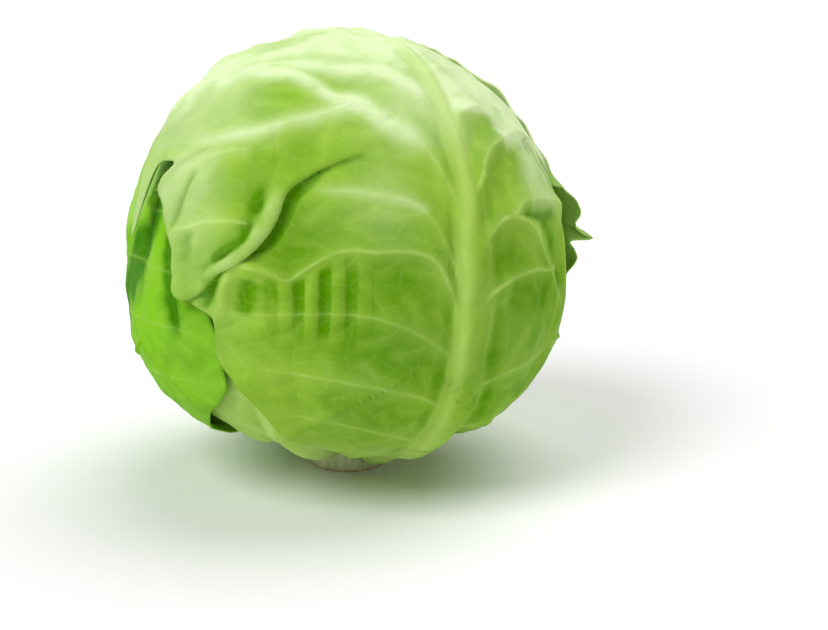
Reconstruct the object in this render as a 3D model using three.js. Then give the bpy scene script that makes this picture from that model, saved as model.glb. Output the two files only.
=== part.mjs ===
// A head of green cabbage, as cut: a dense heart of packed leaves on a stub of stalk, wrapped by six
// large leaves that overlap round it. Each leaf is a thin waved blade with a thick midrib outside.
// Millimetres, +Z up. The origin is the centre of the stalk's cut face, on which the head stands.
import * as THREE from "three";

// ---- Driving dimensions, mm ------------------------------------------------------------------
const CENTRE_HEIGHT = 77; // of the head's widest level above the cut face
const HEART = { x: 82, y: 80, above: 91, below: 63, roundness: 2.15 }; // half axes of the packed heart
const SHOULDERS = [ // the heart's fuller places: the way from its centre, the height and the spread
  { towards: [0.43, -0.1, 0.9], height: 2.6, spread: 0.08 },
  { towards: [-0.6, -0.05, 0.8], height: 1, spread: 0.04 },
  { towards: [0.95, 0, 0.31], height: 2, spread: 0.14 },
];
const STALK = { faceRadius: 15.5, radius: 17, flare: 18.5, height: 17 };
const GAP = 0.5; // kept between pieces that touch
const BLADE = 1.2; // thickness of a leaf between its ribs
const LAYER = { atStalk: 2.8, atSide: 3.5 }; // rise of a leaf over each leaf that it covers
const WRAP_RADIUS = 92; // the radius that a leaf's flat outline is wrapped round
const DRAPE = 22; // how far past a covered leaf's edge the outer leaf still stands off
const MIDRIB = { height: 6, halfWidth: 14, tipHeight: 0.5, tipHalfWidth: 3.5, clearance: 5 };
const MIDRIB_COLUMNS = [0.5, 1.05]; // shares of the midrib's half width where the grid follows it

// ---- Leaves, innermost first ----------------------------------------------------------------
// Each leaf stands one step of the spiral round from the leaf under it. left and right are the blade's
// widths on either side of its midrib, pastCrown is how far its tip reaches over the top, in degrees,
// and flare is how far its left, right and tip margins stand off where nothing covers them. Below each
// of its steps the left side is narrower, and a nick is cut into its margin.
const SPIRAL_STEP = 137.5; // degrees
const OUTERMOST_AZIMUTH = 167.9; // degrees from the front (-Y), towards +X
const LEAVES = [
  { name: "leaf_inner_back", lean: 6, left: 112, right: 104, pastCrown: -12 },
  { name: "leaf_inner_front", lean: -4, left: 104, right: 112, pastCrown: -6 },
  { name: "leaf_inner_right", lean: 5, left: 116, right: 110, pastCrown: 4 },
  { name: "leaf_left", lean: 4, left: 120, right: 118, pastCrown: -4, flare: [1.5, 1.5, 1], grid: [13, 24] },
  { name: "leaf_front", lean: -7, left: 150, right: 112, pastCrown: 14, flare: [1.8, 2, 0.4], grid: [17, 32],
    taper: 0.2, steps: [{ at: 0.8, reach: 0.03, narrower: 23 }, { at: 0.47, reach: 0.05, narrower: 30 }],
    nick: { at: 0.8, reach: 0.03, depth: 7 } },
  { name: "leaf_back", lean: 6, left: 124, right: 122, pastCrown: -27, flare: [0.3, 2, 0], grid: [14, 26],
    skew: 0.07, steps: [{ at: 0.87, reach: 0.1, narrower: 16 }] },
].map((leaf, i, all) => ({
  taper: 0.3, // of the width, lost at the tip
  skew: 0, // of the tip, up on the left side
  flare: [1, 1, 0],
  steps: [],
  grid: [9, 18], // columns on each side of the midrib, and rows
  ...leaf,
  azimuth: OUTERMOST_AZIMUTH - SPIRAL_STEP * (all.length - 1 - i),
  phase: 1.7 * i,
}));
const BLADE_SHAPE = {
  centreLatitude: 8, // degrees, of the point that a leaf is wrapped from
  stalkHalfWidth: 14, // of the blade where it leaves the stalk
  clasp: 5, // by which the blade's corners reach round the stalk
  fullWidthAt: 0.4, // shares of the leaf's length
  taperFrom: 0.6,
  tipDrop: 0.14, // of the length, by which the tip's corners lie lower than its middle
  wobble: 0.022, // of the width, by which the margin wanders
};
const WAVE = { covered: 0.5, open: 1.0, across: 17, along: 21 };
const PILLOW = { height: 1.3, pitch: 26, rise: 24, bend: 38 }; // the blade's swelling between side veins
const RUFFLE = { reach: 24, height: 0.8, lobes: 11 }; // height is a share of the margin's flare

// ---- Small helpers ---------------------------------------------------------------------------
const DEG = Math.PI / 180;
const dot = (a, b) => a[0] * b[0] + a[1] * b[1] + a[2] * b[2];
const cross = (a, b) => [a[1] * b[2] - a[2] * b[1], a[2] * b[0] - a[0] * b[2], a[0] * b[1] - a[1] * b[0]];
const add = (a, b, k = 1) => [a[0] + k * b[0], a[1] + k * b[1], a[2] + k * b[2]];
const scale = (a, k) => [a[0] * k, a[1] * k, a[2] * k];
const unit = (a) => scale(a, 1 / Math.hypot(...a));
const mix = (a, b, t) => a + (b - a) * t;
const clamp = (x, low = 0, high = 1) => Math.min(high, Math.max(low, x));
const smooth = (x) => clamp(x) ** 2 * (3 - 2 * clamp(x));
const bell = (x) => Math.exp(-x * x);

// ---- The heart's outline ---------------------------------------------------------------------
function heartRadius(d) {
  const n = HEART.roundness;
  const z = d[2] > 0 ? HEART.above : HEART.below;
  const plain = Math.abs(d[0] / HEART.x) ** n + Math.abs(d[1] / HEART.y) ** n + Math.abs(d[2] / z) ** n;
  const fuller = ({ towards, height, spread }) => height * bell((1 - dot(d, towards)) / spread);
  return SHOULDERS.reduce((sum, shoulder) => sum + fuller(shoulder), plain ** (-1 / n));
}

// ---- A leaf's flat outline, and how it is wrapped ----------------------------------------------
// (p, q) are millimetres across and along the midrib, from the leaf's centre. (u, v) run over the
// blade: u from -1 at the left margin to 1 at the right, v from 0 at the stalk to 1 at the tip.
function prepare(leaf, order) {
  const a = leaf.azimuth * DEG;
  const e = BLADE_SHAPE.centreLatitude * DEG;
  const lean = leaf.lean * DEG;
  const level = [Math.cos(a), Math.sin(a), 0];
  leaf.out = [Math.sin(a) * Math.cos(e), -Math.cos(a) * Math.cos(e), Math.sin(e)];
  const up = cross(leaf.out, level);
  leaf.across = add(scale(level, Math.cos(lean)), up, Math.sin(lean));
  leaf.along = add(scale(up, Math.cos(lean)), level, -Math.sin(lean));
  leaf.tip = (90 - BLADE_SHAPE.centreLatitude + leaf.pastCrown) * DEG * WRAP_RADIUS;
  // The root lies on the leaf's own side of the stalk, just clear of it.
  let fromStalk = 17;
  for (let i = 0; i < 6; i++) {
    leaf.base = -(90 + BLADE_SHAPE.centreLatitude - fromStalk) * DEG * WRAP_RADIUS * Math.cos(lean);
    leaf.rootShift = leaf.base * Math.tan(lean);
    const radius = bedRadius(order, direction(leaf, leaf.rootShift, leaf.base));
    fromStalk = Math.asin((STALK.flare + 3 * GAP) / radius) / DEG;
  }
}

function halfWidth(leaf, side, v) {
  const shape = BLADE_SHAPE;
  let full = side < 0 ? leaf.left : leaf.right;
  if (side < 0) {
    for (const { at, reach, narrower } of leaf.steps) full -= narrower * (1 - smooth((v - at) / reach + 0.5));
    if (leaf.nick) full -= leaf.nick.depth * bell((v - leaf.nick.at) / leaf.nick.reach);
  }
  const wander = Math.sin(19 * v + leaf.phase + 2 * Math.sign(side)) + 0.6 * Math.sin(41 * v - leaf.phase);
  full *= 1 + shape.wobble * wander;
  const widening = mix(shape.stalkHalfWidth, full, smooth(v / shape.fullWidthAt) ** 0.75);
  return widening * (1 - leaf.taper * clamp((v - shape.taperFrom) / (1 - shape.taperFrom)) ** 2);
}

const midline = (leaf, v) => leaf.rootShift * clamp(1 - v) ** 2.5;
const drop = (leaf, u, v) =>
  (BLADE_SHAPE.tipDrop * u * u + leaf.skew * u) * clamp(v) ** 2 +
  (BLADE_SHAPE.clasp * u * u * clamp(1 - v) ** 8) / (leaf.tip - leaf.base);

function direction(leaf, p, q) {
  const flat = Math.hypot(p, q);
  const angle = flat / WRAP_RADIUS;
  const k = flat < 1e-9 ? 0 : Math.sin(angle) / flat;
  return add(add(scale(leaf.out, Math.cos(angle)), leaf.across, k * p), leaf.along, k * q);
}

function flatPlace(leaf, d) {
  const angle = Math.acos(clamp(dot(d, leaf.out), -1, 1));
  const [x, y] = [dot(d, leaf.across), dot(d, leaf.along)];
  const k = (WRAP_RADIUS * angle) / Math.max(Math.hypot(x, y), 1e-9);
  return [k * x, k * y];
}

function bladePlace(leaf, p, q) {
  const plain = (q - leaf.base) / (leaf.tip - leaf.base);
  let v = plain;
  let u = 0;
  for (let i = 0; i < 4; i++) {
    const x = p - midline(leaf, v);
    u = clamp(x / halfWidth(leaf, x, v), -2, 2);
    v = plain + drop(leaf, u, v);
  }
  return [u, v];
}

// How far inside the blade's margins a place lies, negative outside. It falls off fast at the stalk.
function insideBy(leaf, u, v) {
  const length = leaf.tip - leaf.base;
  return Math.min((1 - Math.abs(u)) * halfWidth(leaf, u, v), (1 - v) * length, 3 * v * length);
}
const covers = (leaf, u, v) => smooth((insideBy(leaf, u, v) + DRAPE) / (DRAPE - 1));

const ribHalfWidth = (v) => mix(MIDRIB.tipHalfWidth, MIDRIB.halfWidth, clamp(1 - v) ** 1.4);

function ribHeight(leaf, p, v, spread = 0) {
  const height = mix(MIDRIB.tipHeight, MIDRIB.height, clamp(1 - v) ** 1.6);
  const x = (p - midline(leaf, v)) / (ribHalfWidth(v) + spread);
  return Math.abs(x) < 1 ? height * (1 - x * x) ** 1.5 * smooth((1 - v) / 0.1) : 0;
}

// ---- How the leaves lie on each other ----------------------------------------------------------
// The radius on which leaf number `order` lies: the heart, and a step for each leaf under it.
function bedRadius(order, d) {
  const fromStalk = Math.acos(clamp(-d[2], -1, 1)) / DEG;
  const step = mix(LAYER.atStalk, LAYER.atSide, smooth((fromStalk - 15) / 45));
  let radius = heartRadius(d) + 1.5 * GAP + BLADE / 2;
  for (const under of LEAVES.slice(0, order)) {
    const [p, q] = flatPlace(under, d);
    const [u, v] = bladePlace(under, p, q);
    radius += covers(under, u, v) * (step + ribHeight(under, p, v, MIDRIB.clearance));
  }
  return radius;
}

// 1 where no later leaf lies over this direction, 0 under one.
function openness(order, d) {
  let open = 1;
  for (const over of LEAVES.slice(order + 1)) {
    const [p, q] = flatPlace(over, d);
    open *= 1 - covers(over, ...bladePlace(over, p, q));
  }
  return open;
}

// ---- Relief of a blade where it is open to the air ---------------------------------------------
function pillow(leaf, p, q, v) {
  const x = Math.abs(p - midline(leaf, v));
  const rise = PILLOW.rise * (1 - Math.exp(-x / PILLOW.bend));
  const share = (q - rise) / PILLOW.pitch + (p > 0 ? 0.5 : 0);
  const size = PILLOW.height * smooth(x / 22) * (1 - 0.5 * smooth((v - 0.75) / 0.2));
  return size * 0.5 * (1 - Math.cos(2 * Math.PI * share));
}

function marginFlare(leaf, u, v) {
  const [left, right, tip] = leaf.flare;
  const toSide = (1 - Math.abs(u)) * halfWidth(leaf, u, v);
  const toTip = (1 - v) * (leaf.tip - leaf.base);
  const around = Math.atan2(v - 0.5, u) * RUFFLE.lobes + leaf.phase;
  const ruffle = 1 + RUFFLE.height * 0.6 * (Math.sin(around) + 0.6 * Math.sin(2 * around + 1));
  const side = (u < 0 ? left : right) * smooth(1 - toSide / RUFFLE.reach);
  return (side + tip * smooth(1 - toTip / RUFFLE.reach)) * ruffle * smooth((v - 0.3) / 0.25);
}

// The nearest place on a polyline: how far, on which side, and what share of the way along.
function alongLine(points, p, q) {
  let best = { distance: 1e9, side: 1, share: 0 };
  for (let i = 0; i + 1 < points.length; i++) {
    const [ax, ay] = points[i];
    const [dx, dy] = [points[i + 1][0] - ax, points[i + 1][1] - ay];
    const t = clamp(((p - ax) * dx + (q - ay) * dy) / (dx * dx + dy * dy));
    const [ex, ey] = [p - ax - t * dx, q - ay - t * dy];
    const distance = Math.hypot(ex, ey);
    const share = (i + t) / (points.length - 1);
    if (distance < best.distance) best = { distance, side: dx * ey - dy * ex < 0 ? -1 : 1, share };
  }
  return best;
}

// The left part of the front leaf is doubled over: its rolled edge stands clear of the part beside it.
// Below a side vein the blade is drawn into short upright pleats.
const FRONT_CREASE = [[-37, 58], [-52, 54], [-66, 46], [-72, 34], [-82, 20], [-98, 7], [-104, 2]];
const FRONT_VEIN = [[-6, 14], [-22, 20], [-37, 20], [-50, 20], [-68, 10], [-78, 11], [-92, 9]];
function frontFolds(p, q) {
  const crease = alongLine(FRONT_CREASE, p, q);
  const full = smooth(crease.share / 0.6);
  const behind = crease.side < 0 ? 0.2 + 0.8 * bell(crease.distance / 16) : 1 - smooth(crease.distance / 4);
  const doubled = 4.6 * full * behind * smooth(1.6 - crease.distance / 40);
  const vein = alongLine(FRONT_VEIN, p, q);
  const ridge = 2 * bell(vein.distance / 5);
  const below = vein.side < 0 ? 0 : smooth(vein.distance / 5) * bell((p + 46) / 26) * bell((q + 2) / 24);
  return Math.max(doubled, ridge) + below * (1 + Math.sin(p / 2.6));
}

// The open part of the left leaf is drawn into pleats that fan out from the front leaf's notch.
const PLEATS = { from: [58, 58], count: 12, middle: -95, height: 0.9, reach: 95 };
function leftPleats(p, q) {
  const [x, y] = [p - PLEATS.from[0], q - PLEATS.from[1]];
  const distance = Math.hypot(x, y);
  const angle = Math.atan2(y, x) / DEG - PLEATS.middle;
  const fan = smooth(distance / 18) * smooth((PLEATS.reach - distance) / 40) * bell(angle / 45);
  return PLEATS.height * fan * (1 + Math.cos(PLEATS.count * angle * DEG));
}

// A frill of the back leaf's margin that stands out from the head's side.
const FRILL = { at: 24, length: 10, depth: 15, height: 9 };
const backFrill = (leaf, p, q, u, v) => {
  const toMargin = u < 0 ? (1 + u) * halfWidth(leaf, u, v) : 1e3;
  return FRILL.height * smooth(1 - toMargin / FRILL.depth) * bell((q - FRILL.at) / FRILL.length);
};

const FOLDS = {
  leaf_front: (leaf, p, q) => frontFolds(p, q),
  leaf_left: (leaf, p, q) => leftPleats(p, q),
  leaf_back: backFrill,
};

// ---- One leaf as a closed solid ----------------------------------------------------------------
function leafPoint(order, u, v) {
  const leaf = LEAVES[order];
  const p = midline(leaf, v) + u * halfWidth(leaf, u, v);
  const q = mix(leaf.base, leaf.tip, v - drop(leaf, u, v));
  const d = direction(leaf, p, q);
  const open = openness(order, d);
  const away = smooth((v - 0.06) / 0.2); // from the stalk
  const wave = 1 + Math.sin(p / WAVE.across + leaf.phase) * Math.sin(q / WAVE.along + 2 * leaf.phase);
  const folds = FOLDS[leaf.name] ? FOLDS[leaf.name](leaf, p, q, u, v) : 0;
  const relief = wave * 0.5 * mix(WAVE.covered, WAVE.open, open);
  const lift = open * (pillow(leaf, p, q, v) + marginFlare(leaf, u, v) + folds);
  const radius = bedRadius(order, d) + away * (relief + lift);
  return { point: add([0, 0, CENTRE_HEIGHT], d, radius), rib: ribHeight(leaf, p, v) };
}

// The columns of a blade's grid: on the midrib's crest, flanks and feet, then evenly to the margin.
function columnPlace(leaf, column, v) {
  const side = Math.sign(column);
  const n = Math.abs(column);
  const full = halfWidth(leaf, side, v);
  const feet = MIDRIB_COLUMNS.length;
  const outermost = MIDRIB_COLUMNS[feet - 1];
  const rib = Math.min(ribHalfWidth(v), full / outermost / 1.3);
  if (n <= feet) return (side * (n ? MIDRIB_COLUMNS[n - 1] : 0) * rib) / full;
  return (side * mix(outermost * rib, full, (n - feet) / (leaf.grid[0] - feet))) / full;
}

// The rows lie closer near the stalk, where the petioles cross.
const rowPlace = (share) => mix(share, share * share, 0.4);

function leafGeometry(order) {
  const leaf = LEAVES[order];
  const [columns, rows] = leaf.grid;
  const wide = 2 * columns + 1;
  const high = rows + 1;
  const at = (i, j) => j * wide + i;
  const grid = [];
  for (let j = 0; j < high; j++)
    for (let i = 0; i < wide; i++) {
      const v = rowPlace(j / rows);
      grid.push(leafPoint(order, columnPlace(leaf, i - columns, v), v));
    }
  const spot = (i, j) => grid[at(clamp(i, 0, wide - 1), clamp(j, 0, high - 1))].point;
  const outer = [];
  const inner = [];
  for (let j = 0; j < high; j++)
    for (let i = 0; i < wide; i++) {
      const acrossBlade = add(spot(i + 1, j), spot(i - 1, j), -1);
      const alongBlade = add(spot(i, j + 1), spot(i, j - 1), -1);
      const normal = unit(cross(acrossBlade, alongBlade));
      const { point, rib } = grid[at(i, j)];
      outer.push(clearOfStalk(add(point, normal, BLADE / 2 + rib)));
      inner.push(clearOfStalk(add(point, normal, -BLADE / 2)));
    }
  return closedSheet(outer, inner, wide, high);
}

function clearOfStalk([x, y, z]) {
  const reach = Math.hypot(x, y);
  const least = STALK.flare + GAP;
  return z > STALK.height + 5 || reach > least ? [x, y, z] : [(x * least) / reach, (y * least) / reach, z];
}

// Two faces of one grid, split into triangles alike, and the strip that closes them round the edge.
function closedSheet(outer, inner, wide, high) {
  const faces = [];
  const at = (i, j) => j * wide + i;
  const under = outer.length;
  const quad = (a, b, c, d) => faces.push(a, b, c, a, c, d);
  for (let j = 0; j + 1 < high; j++)
    for (let i = 0; i + 1 < wide; i++) {
      const [a, b, c, d] = [at(i, j), at(i + 1, j), at(i + 1, j + 1), at(i, j + 1)];
      quad(a, b, c, d);
      faces.push(under + a, under + c, under + b, under + a, under + d, under + c);
    }
  const rim = [];
  for (let i = 0; i + 1 < wide; i++) rim.push(at(i, 0));
  for (let j = 0; j + 1 < high; j++) rim.push(at(wide - 1, j));
  for (let i = wide - 1; i > 0; i--) rim.push(at(i, high - 1));
  for (let j = high - 1; j > 0; j--) rim.push(at(0, j));
  rim.forEach((a, k) => {
    const b = rim[(k + 1) % rim.length];
    quad(under + a, under + b, b, a);
  });
  return geometryOf([...outer, ...inner], faces);
}

function geometryOf(points, faces) {
  const geometry = new THREE.BufferGeometry();
  geometry.setAttribute("position", new THREE.Float32BufferAttribute(points.flat(), 3));
  geometry.setIndex(faces);
  geometry.computeVertexNormals();
  return geometry;
}

// ---- The heart ---------------------------------------------------------------------------------
// Four overlapping leaves of the packed heart show as low steps on it.
const HEART_GRID = { round: 36, high: 20 };
const HEART_LEAVES = [60, 197.5, 335, 112.5].map((azimuth, i) => ({
  azimuth, lean: 4 - 3 * i, left: 100, right: 100, pastCrown: 6 - 5 * i, phase: i,
  taper: 0.3, skew: 0, steps: [],
}));
const HEART_STEP = 0.9;

function heartPoint(d) {
  let radius = heartRadius(d) - HEART_LEAVES.length * HEART_STEP;
  for (const leaf of HEART_LEAVES) {
    const inside = insideBy(leaf, ...bladePlace(leaf, ...flatPlace(leaf, d)));
    radius += HEART_STEP * smooth((inside + 4) / 8);
  }
  const [x, y, z] = add([0, 0, CENTRE_HEIGHT], d, radius);
  return [x, y, Math.max(z, STALK.height + GAP)];
}

function heartGeometry() {
  const points = [heartPoint([0, 0, -1])];
  const faces = [];
  const { round, high } = HEART_GRID;
  for (let j = 1; j < high; j++)
    for (let i = 0; i < round; i++) {
      const latitude = (j / high - 0.5) * Math.PI;
      const azimuth = (i / round) * 2 * Math.PI;
      const level = Math.cos(latitude);
      points.push(heartPoint([level * Math.cos(azimuth), level * Math.sin(azimuth), Math.sin(latitude)]));
    }
  const at = (i, j) => 1 + (j - 1) * round + (i % round);
  for (let i = 0; i < round; i++) {
    faces.push(0, at(i + 1, 1), at(i, 1));
    for (let j = 1; j + 1 < high; j++)
      faces.push(at(i, j), at(i + 1, j), at(i + 1, j + 1), at(i, j), at(i + 1, j + 1), at(i, j + 1));
    faces.push(at(i, high - 1), at(i + 1, high - 1), points.length);
  }
  points.push(heartPoint([0, 0, 1]));
  return geometryOf(points, faces);
}

// ---- The stalk ---------------------------------------------------------------------------------
function stalkGeometry() {
  const sides = 24;
  const edge = 1.2; // the cut face's worn rim
  const profile = [
    [0, 0], [STALK.faceRadius, 0], [STALK.radius - 0.3, edge], [STALK.radius, 3],
    [STALK.radius, STALK.height * 0.4], [STALK.flare, STALK.height * 0.8],
    [STALK.flare, STALK.height], [0, STALK.height],
  ].map(([x, z]) => new THREE.Vector2(x, z));
  const turned = new THREE.LatheGeometry(profile, sides);
  return turned.rotateX(Math.PI / 2);
}

// ---- Assembly ------------------------------------------------------------------------------------
const heartGreen = new THREE.MeshStandardMaterial({ color: 0xd4e3a2, roughness: 0.5 });
const stalkWhite = new THREE.MeshStandardMaterial({ color: 0xe6e2c0, roughness: 0.65 });
const innerGreen = new THREE.MeshStandardMaterial({ color: 0xa9cf6a, roughness: 0.45 });
const outerGreen = new THREE.MeshStandardMaterial({ color: 0x86b944, roughness: 0.42 });

const head = new THREE.Group();
function piece(name, geometry, material) {
  const mesh = new THREE.Mesh(geometry, material);
  mesh.name = name;
  head.add(mesh);
}

LEAVES.forEach(prepare);
HEART_LEAVES.forEach((leaf) => prepare(leaf, 0));
piece("stalk", stalkGeometry(), stalkWhite);
piece("heart", heartGeometry(), heartGreen);
LEAVES.forEach((leaf, order) =>
  piece(leaf.name, leafGeometry(order), leaf.name.includes("inner") ? innerGreen : outerGreen));

export default head;
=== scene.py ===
from functools import partial
from math import atan, cos, pi, radians, sin, tan
from types import SimpleNamespace

import bpy
import numpy as np
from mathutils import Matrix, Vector


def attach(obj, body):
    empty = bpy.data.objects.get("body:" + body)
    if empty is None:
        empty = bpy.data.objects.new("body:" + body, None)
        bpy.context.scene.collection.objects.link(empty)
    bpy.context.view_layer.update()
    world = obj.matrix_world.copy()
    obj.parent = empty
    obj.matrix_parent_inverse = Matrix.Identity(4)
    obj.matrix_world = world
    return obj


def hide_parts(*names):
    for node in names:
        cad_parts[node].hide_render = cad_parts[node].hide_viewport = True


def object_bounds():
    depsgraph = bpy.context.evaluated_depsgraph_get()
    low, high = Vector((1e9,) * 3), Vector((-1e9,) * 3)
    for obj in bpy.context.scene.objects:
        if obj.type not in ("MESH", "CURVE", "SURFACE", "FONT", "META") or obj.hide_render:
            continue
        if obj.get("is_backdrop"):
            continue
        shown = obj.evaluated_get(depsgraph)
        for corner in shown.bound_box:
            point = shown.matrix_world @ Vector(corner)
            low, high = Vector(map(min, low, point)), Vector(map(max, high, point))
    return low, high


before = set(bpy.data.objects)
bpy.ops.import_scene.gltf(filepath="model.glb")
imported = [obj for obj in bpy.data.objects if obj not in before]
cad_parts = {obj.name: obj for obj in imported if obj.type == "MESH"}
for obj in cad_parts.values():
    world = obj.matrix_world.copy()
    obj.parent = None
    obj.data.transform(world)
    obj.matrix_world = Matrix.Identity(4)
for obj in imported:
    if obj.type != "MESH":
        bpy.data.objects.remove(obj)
cad_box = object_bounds()
MM = 0.001

# ---- Camera --------------------------------------------------------------------------------------
# It stands in front of the head, a little above it, and sees it from 0.95 m. The head's centre
# falls left of the middle of the picture and above it.
PICTURE = (828, 630)
HEAD_CENTRE = np.array([0, 0, 77.0])
CAMERA_RISE = radians(15)
CAMERA_DISTANCE = 950.0
CENTRE_FALLS_AT = (346.5, 283.0)
LENS, SENSOR = 100.0, 36.0
NEAREST, FARTHEST = 0.05, 50  # metres

focal = LENS / SENSOR * PICTURE[0]
camera_at = HEAD_CENTRE + CAMERA_DISTANCE * np.array([0, -cos(CAMERA_RISE), sin(CAMERA_RISE)])
turn = atan((PICTURE[0] / 2 - CENTRE_FALLS_AT[0]) / focal) / cos(CAMERA_RISE)
lowered = atan((PICTURE[1] / 2 - CENTRE_FALLS_AT[1]) / focal)
bpy.ops.object.camera_add(location=Vector(camera_at) * MM)
camera = bpy.context.object
camera.rotation_euler = (pi / 2 - CAMERA_RISE - lowered, 0, -turn)
camera.data.lens, camera.data.sensor_width = LENS, SENSOR
camera.data.clip_start, camera.data.clip_end = NEAREST, FARTHEST
bpy.context.scene.camera = camera

# ---- Stalk ---------------------------------------------------------------------------------------
# The stub of stem that the knife leaves: juicy, with a ring of woody fibres inside its skin. It is
# cut square across, and the head stands on that cut, which has dried and browned a little.
STALK = SimpleNamespace(face=15.5, radius=17.0, flare=18.5, height=17.0)
# Above the cut face: the height and the radius of each ring of its side.
STALK_RINGS = [(0.9, 16.4), (2, 16.9), (4, 16.8), (6.8, 16.9), (10, 17.3), (13.6, 18.2), (17, 18.4)]
# How wide each ring in the cut face is, from the outside, as a share of the face's radius.
CUT_RINGS = 0.1125, 0.171, 0.225
# The radii over which the ring of fibres fades in, and those over which it fades out.
WOODY_STARTS, WOODY_ENDS = (9.0, 11.5), (15.2, 13.4)
# Low ribs where the leaves grew out of the stem. They twist a little on their way up.
FLUTES = SimpleNamespace(count=7, depth=0.35, twist=0.12)


class Term:
    """One output of a node. Sums written on it add Math nodes to its material."""

    def __init__(self, tree, socket):
        self.tree = tree
        self.socket = socket

    def node(self, kind, settings, inputs, output=0):
        made = self.tree.nodes.new(kind)
        for name, value in settings.items():
            setattr(made, name, value)
        for name, value in inputs.items():
            if isinstance(value, Term):
                self.tree.links.new(value.socket, made.inputs[name])
            else:
                made.inputs[name].default_value = value
        return Term(self.tree, made.outputs[output])

    def maths(self, operation, *values):
        return self.node("ShaderNodeMath", {"operation": operation}, dict(enumerate(values)))

    def __add__(self, other):
        return self.maths("ADD", self, other)

    def __sub__(self, other):
        return self.maths("SUBTRACT", self, other)

    def __rsub__(self, other):
        return self.maths("SUBTRACT", other, self)

    def __mul__(self, other):
        return self.maths("MULTIPLY", self, other)

    __radd__ = __add__
    __rmul__ = __mul__

    def most(self, other):
        return self.maths("MAXIMUM", self, other)

    def size(self):
        return self.maths("ABSOLUTE", self)

    def band(self, low, high, start=0.0, end=1.0):
        """Runs smoothly from start to end as this goes from low to high."""
        inputs = {"Value": self, "From Min": low, "From Max": high, "To Min": start, "To Max": end}
        return self.node("ShaderNodeMapRange", {"interpolation_type": "SMOOTHSTEP"}, inputs)

    def stretch(self, *scale):
        return self.node("ShaderNodeVectorMath", {"operation": "MULTIPLY"}, {0: self, 1: scale})

    def noise(self, size, detail=3.0, output=0):
        """Cloudy noise about 0.5, with features about size across."""
        inputs = {"Vector": self, "Scale": 1 / size, "Detail": detail}
        return self.node("ShaderNodeTexNoise", {}, inputs, output)

    def blend(self, first, second):
        """Goes from the first colour to the second as this goes from 0 to 1."""
        return self.node("ShaderNodeMix", {"data_type": "RGBA"}, {0: self, 6: first, 7: second}, 2)


def paint(red, green, blue):
    """A colour given as it is seen, 0 to 255, in the form that sockets take."""
    seen = np.array([red, green, blue]) / 255
    return (*np.where(seen > 0.04045, ((seen + 0.055) / 1.055) ** 2.4, seen / 12.92), 1.0)


def new_finish(name):
    """A new material, its shader, and the place on the object in millimetres."""
    material = bpy.data.materials.new(name)
    material.use_nodes = True
    tree = material.node_tree
    place = Term(tree, None).node("ShaderNodeTexCoord", {}, {}, "Object").stretch(*[1 / MM] * 3)
    return material, Term(tree, None), tree.nodes["Principled BSDF"].inputs, place


def dress(inputs, **values):
    """Sets or links a shader's sockets. An underscore in a name stands for a space."""
    for name, value in values.items():
        socket = inputs[name.replace("_", " ")]
        if isinstance(value, Term):
            value.tree.links.new(value.socket, socket)
        else:
            socket.default_value = value


def bump(height, strength=1.0):
    """A shaded normal from a height in millimetres."""
    return height.node("ShaderNodeBump", {}, {"Height": height, "Distance": MM, "Strength": strength})


def stem_finish():
    material, _, inputs, place = new_finish("cut_stem")
    x, y, z = (place.node("ShaderNodeSeparateXYZ", {}, {0: place}, i) for i in range(3))
    square = x * x + y * y
    radius = square.maths("SQRT", square)
    upright = place.stretch(1, 1, 0.1)
    fibres = upright.node("ShaderNodeTexVoronoi", {}, {"Vector": upright, "Scale": 0.9})
    strands = fibres.band(0.42, 0.1) * radius.band(*WOODY_STARTS) * radius.band(*WOODY_ENDS)
    dried = place.noise(7, 5).band(0.44, 0.66)
    flesh = dried.blend(paint(238, 234, 208), paint(219, 207, 160))
    face = (strands * 0.7).blend(flesh, paint(168, 148, 92))
    face = radius.band(14.0, 15.6, 0.0, 0.8).blend(face, paint(178, 160, 104))
    streaks = place.stretch(1, 1, 0.15).noise(2.4, 4)
    skin = streaks.band(0.35, 0.68).blend(paint(229, 233, 192), paint(198, 210, 148))
    colour = z.band(1.6, 0.1).blend(skin, face)
    relief = strands * 0.25 + streaks * 0.3 + place.noise(1.1, 3) * 0.15
    dress(inputs, Base_Color=colour, Roughness=dried.band(0, 1, 0.5, 0.7), Normal=bump(relief))
    return material


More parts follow.
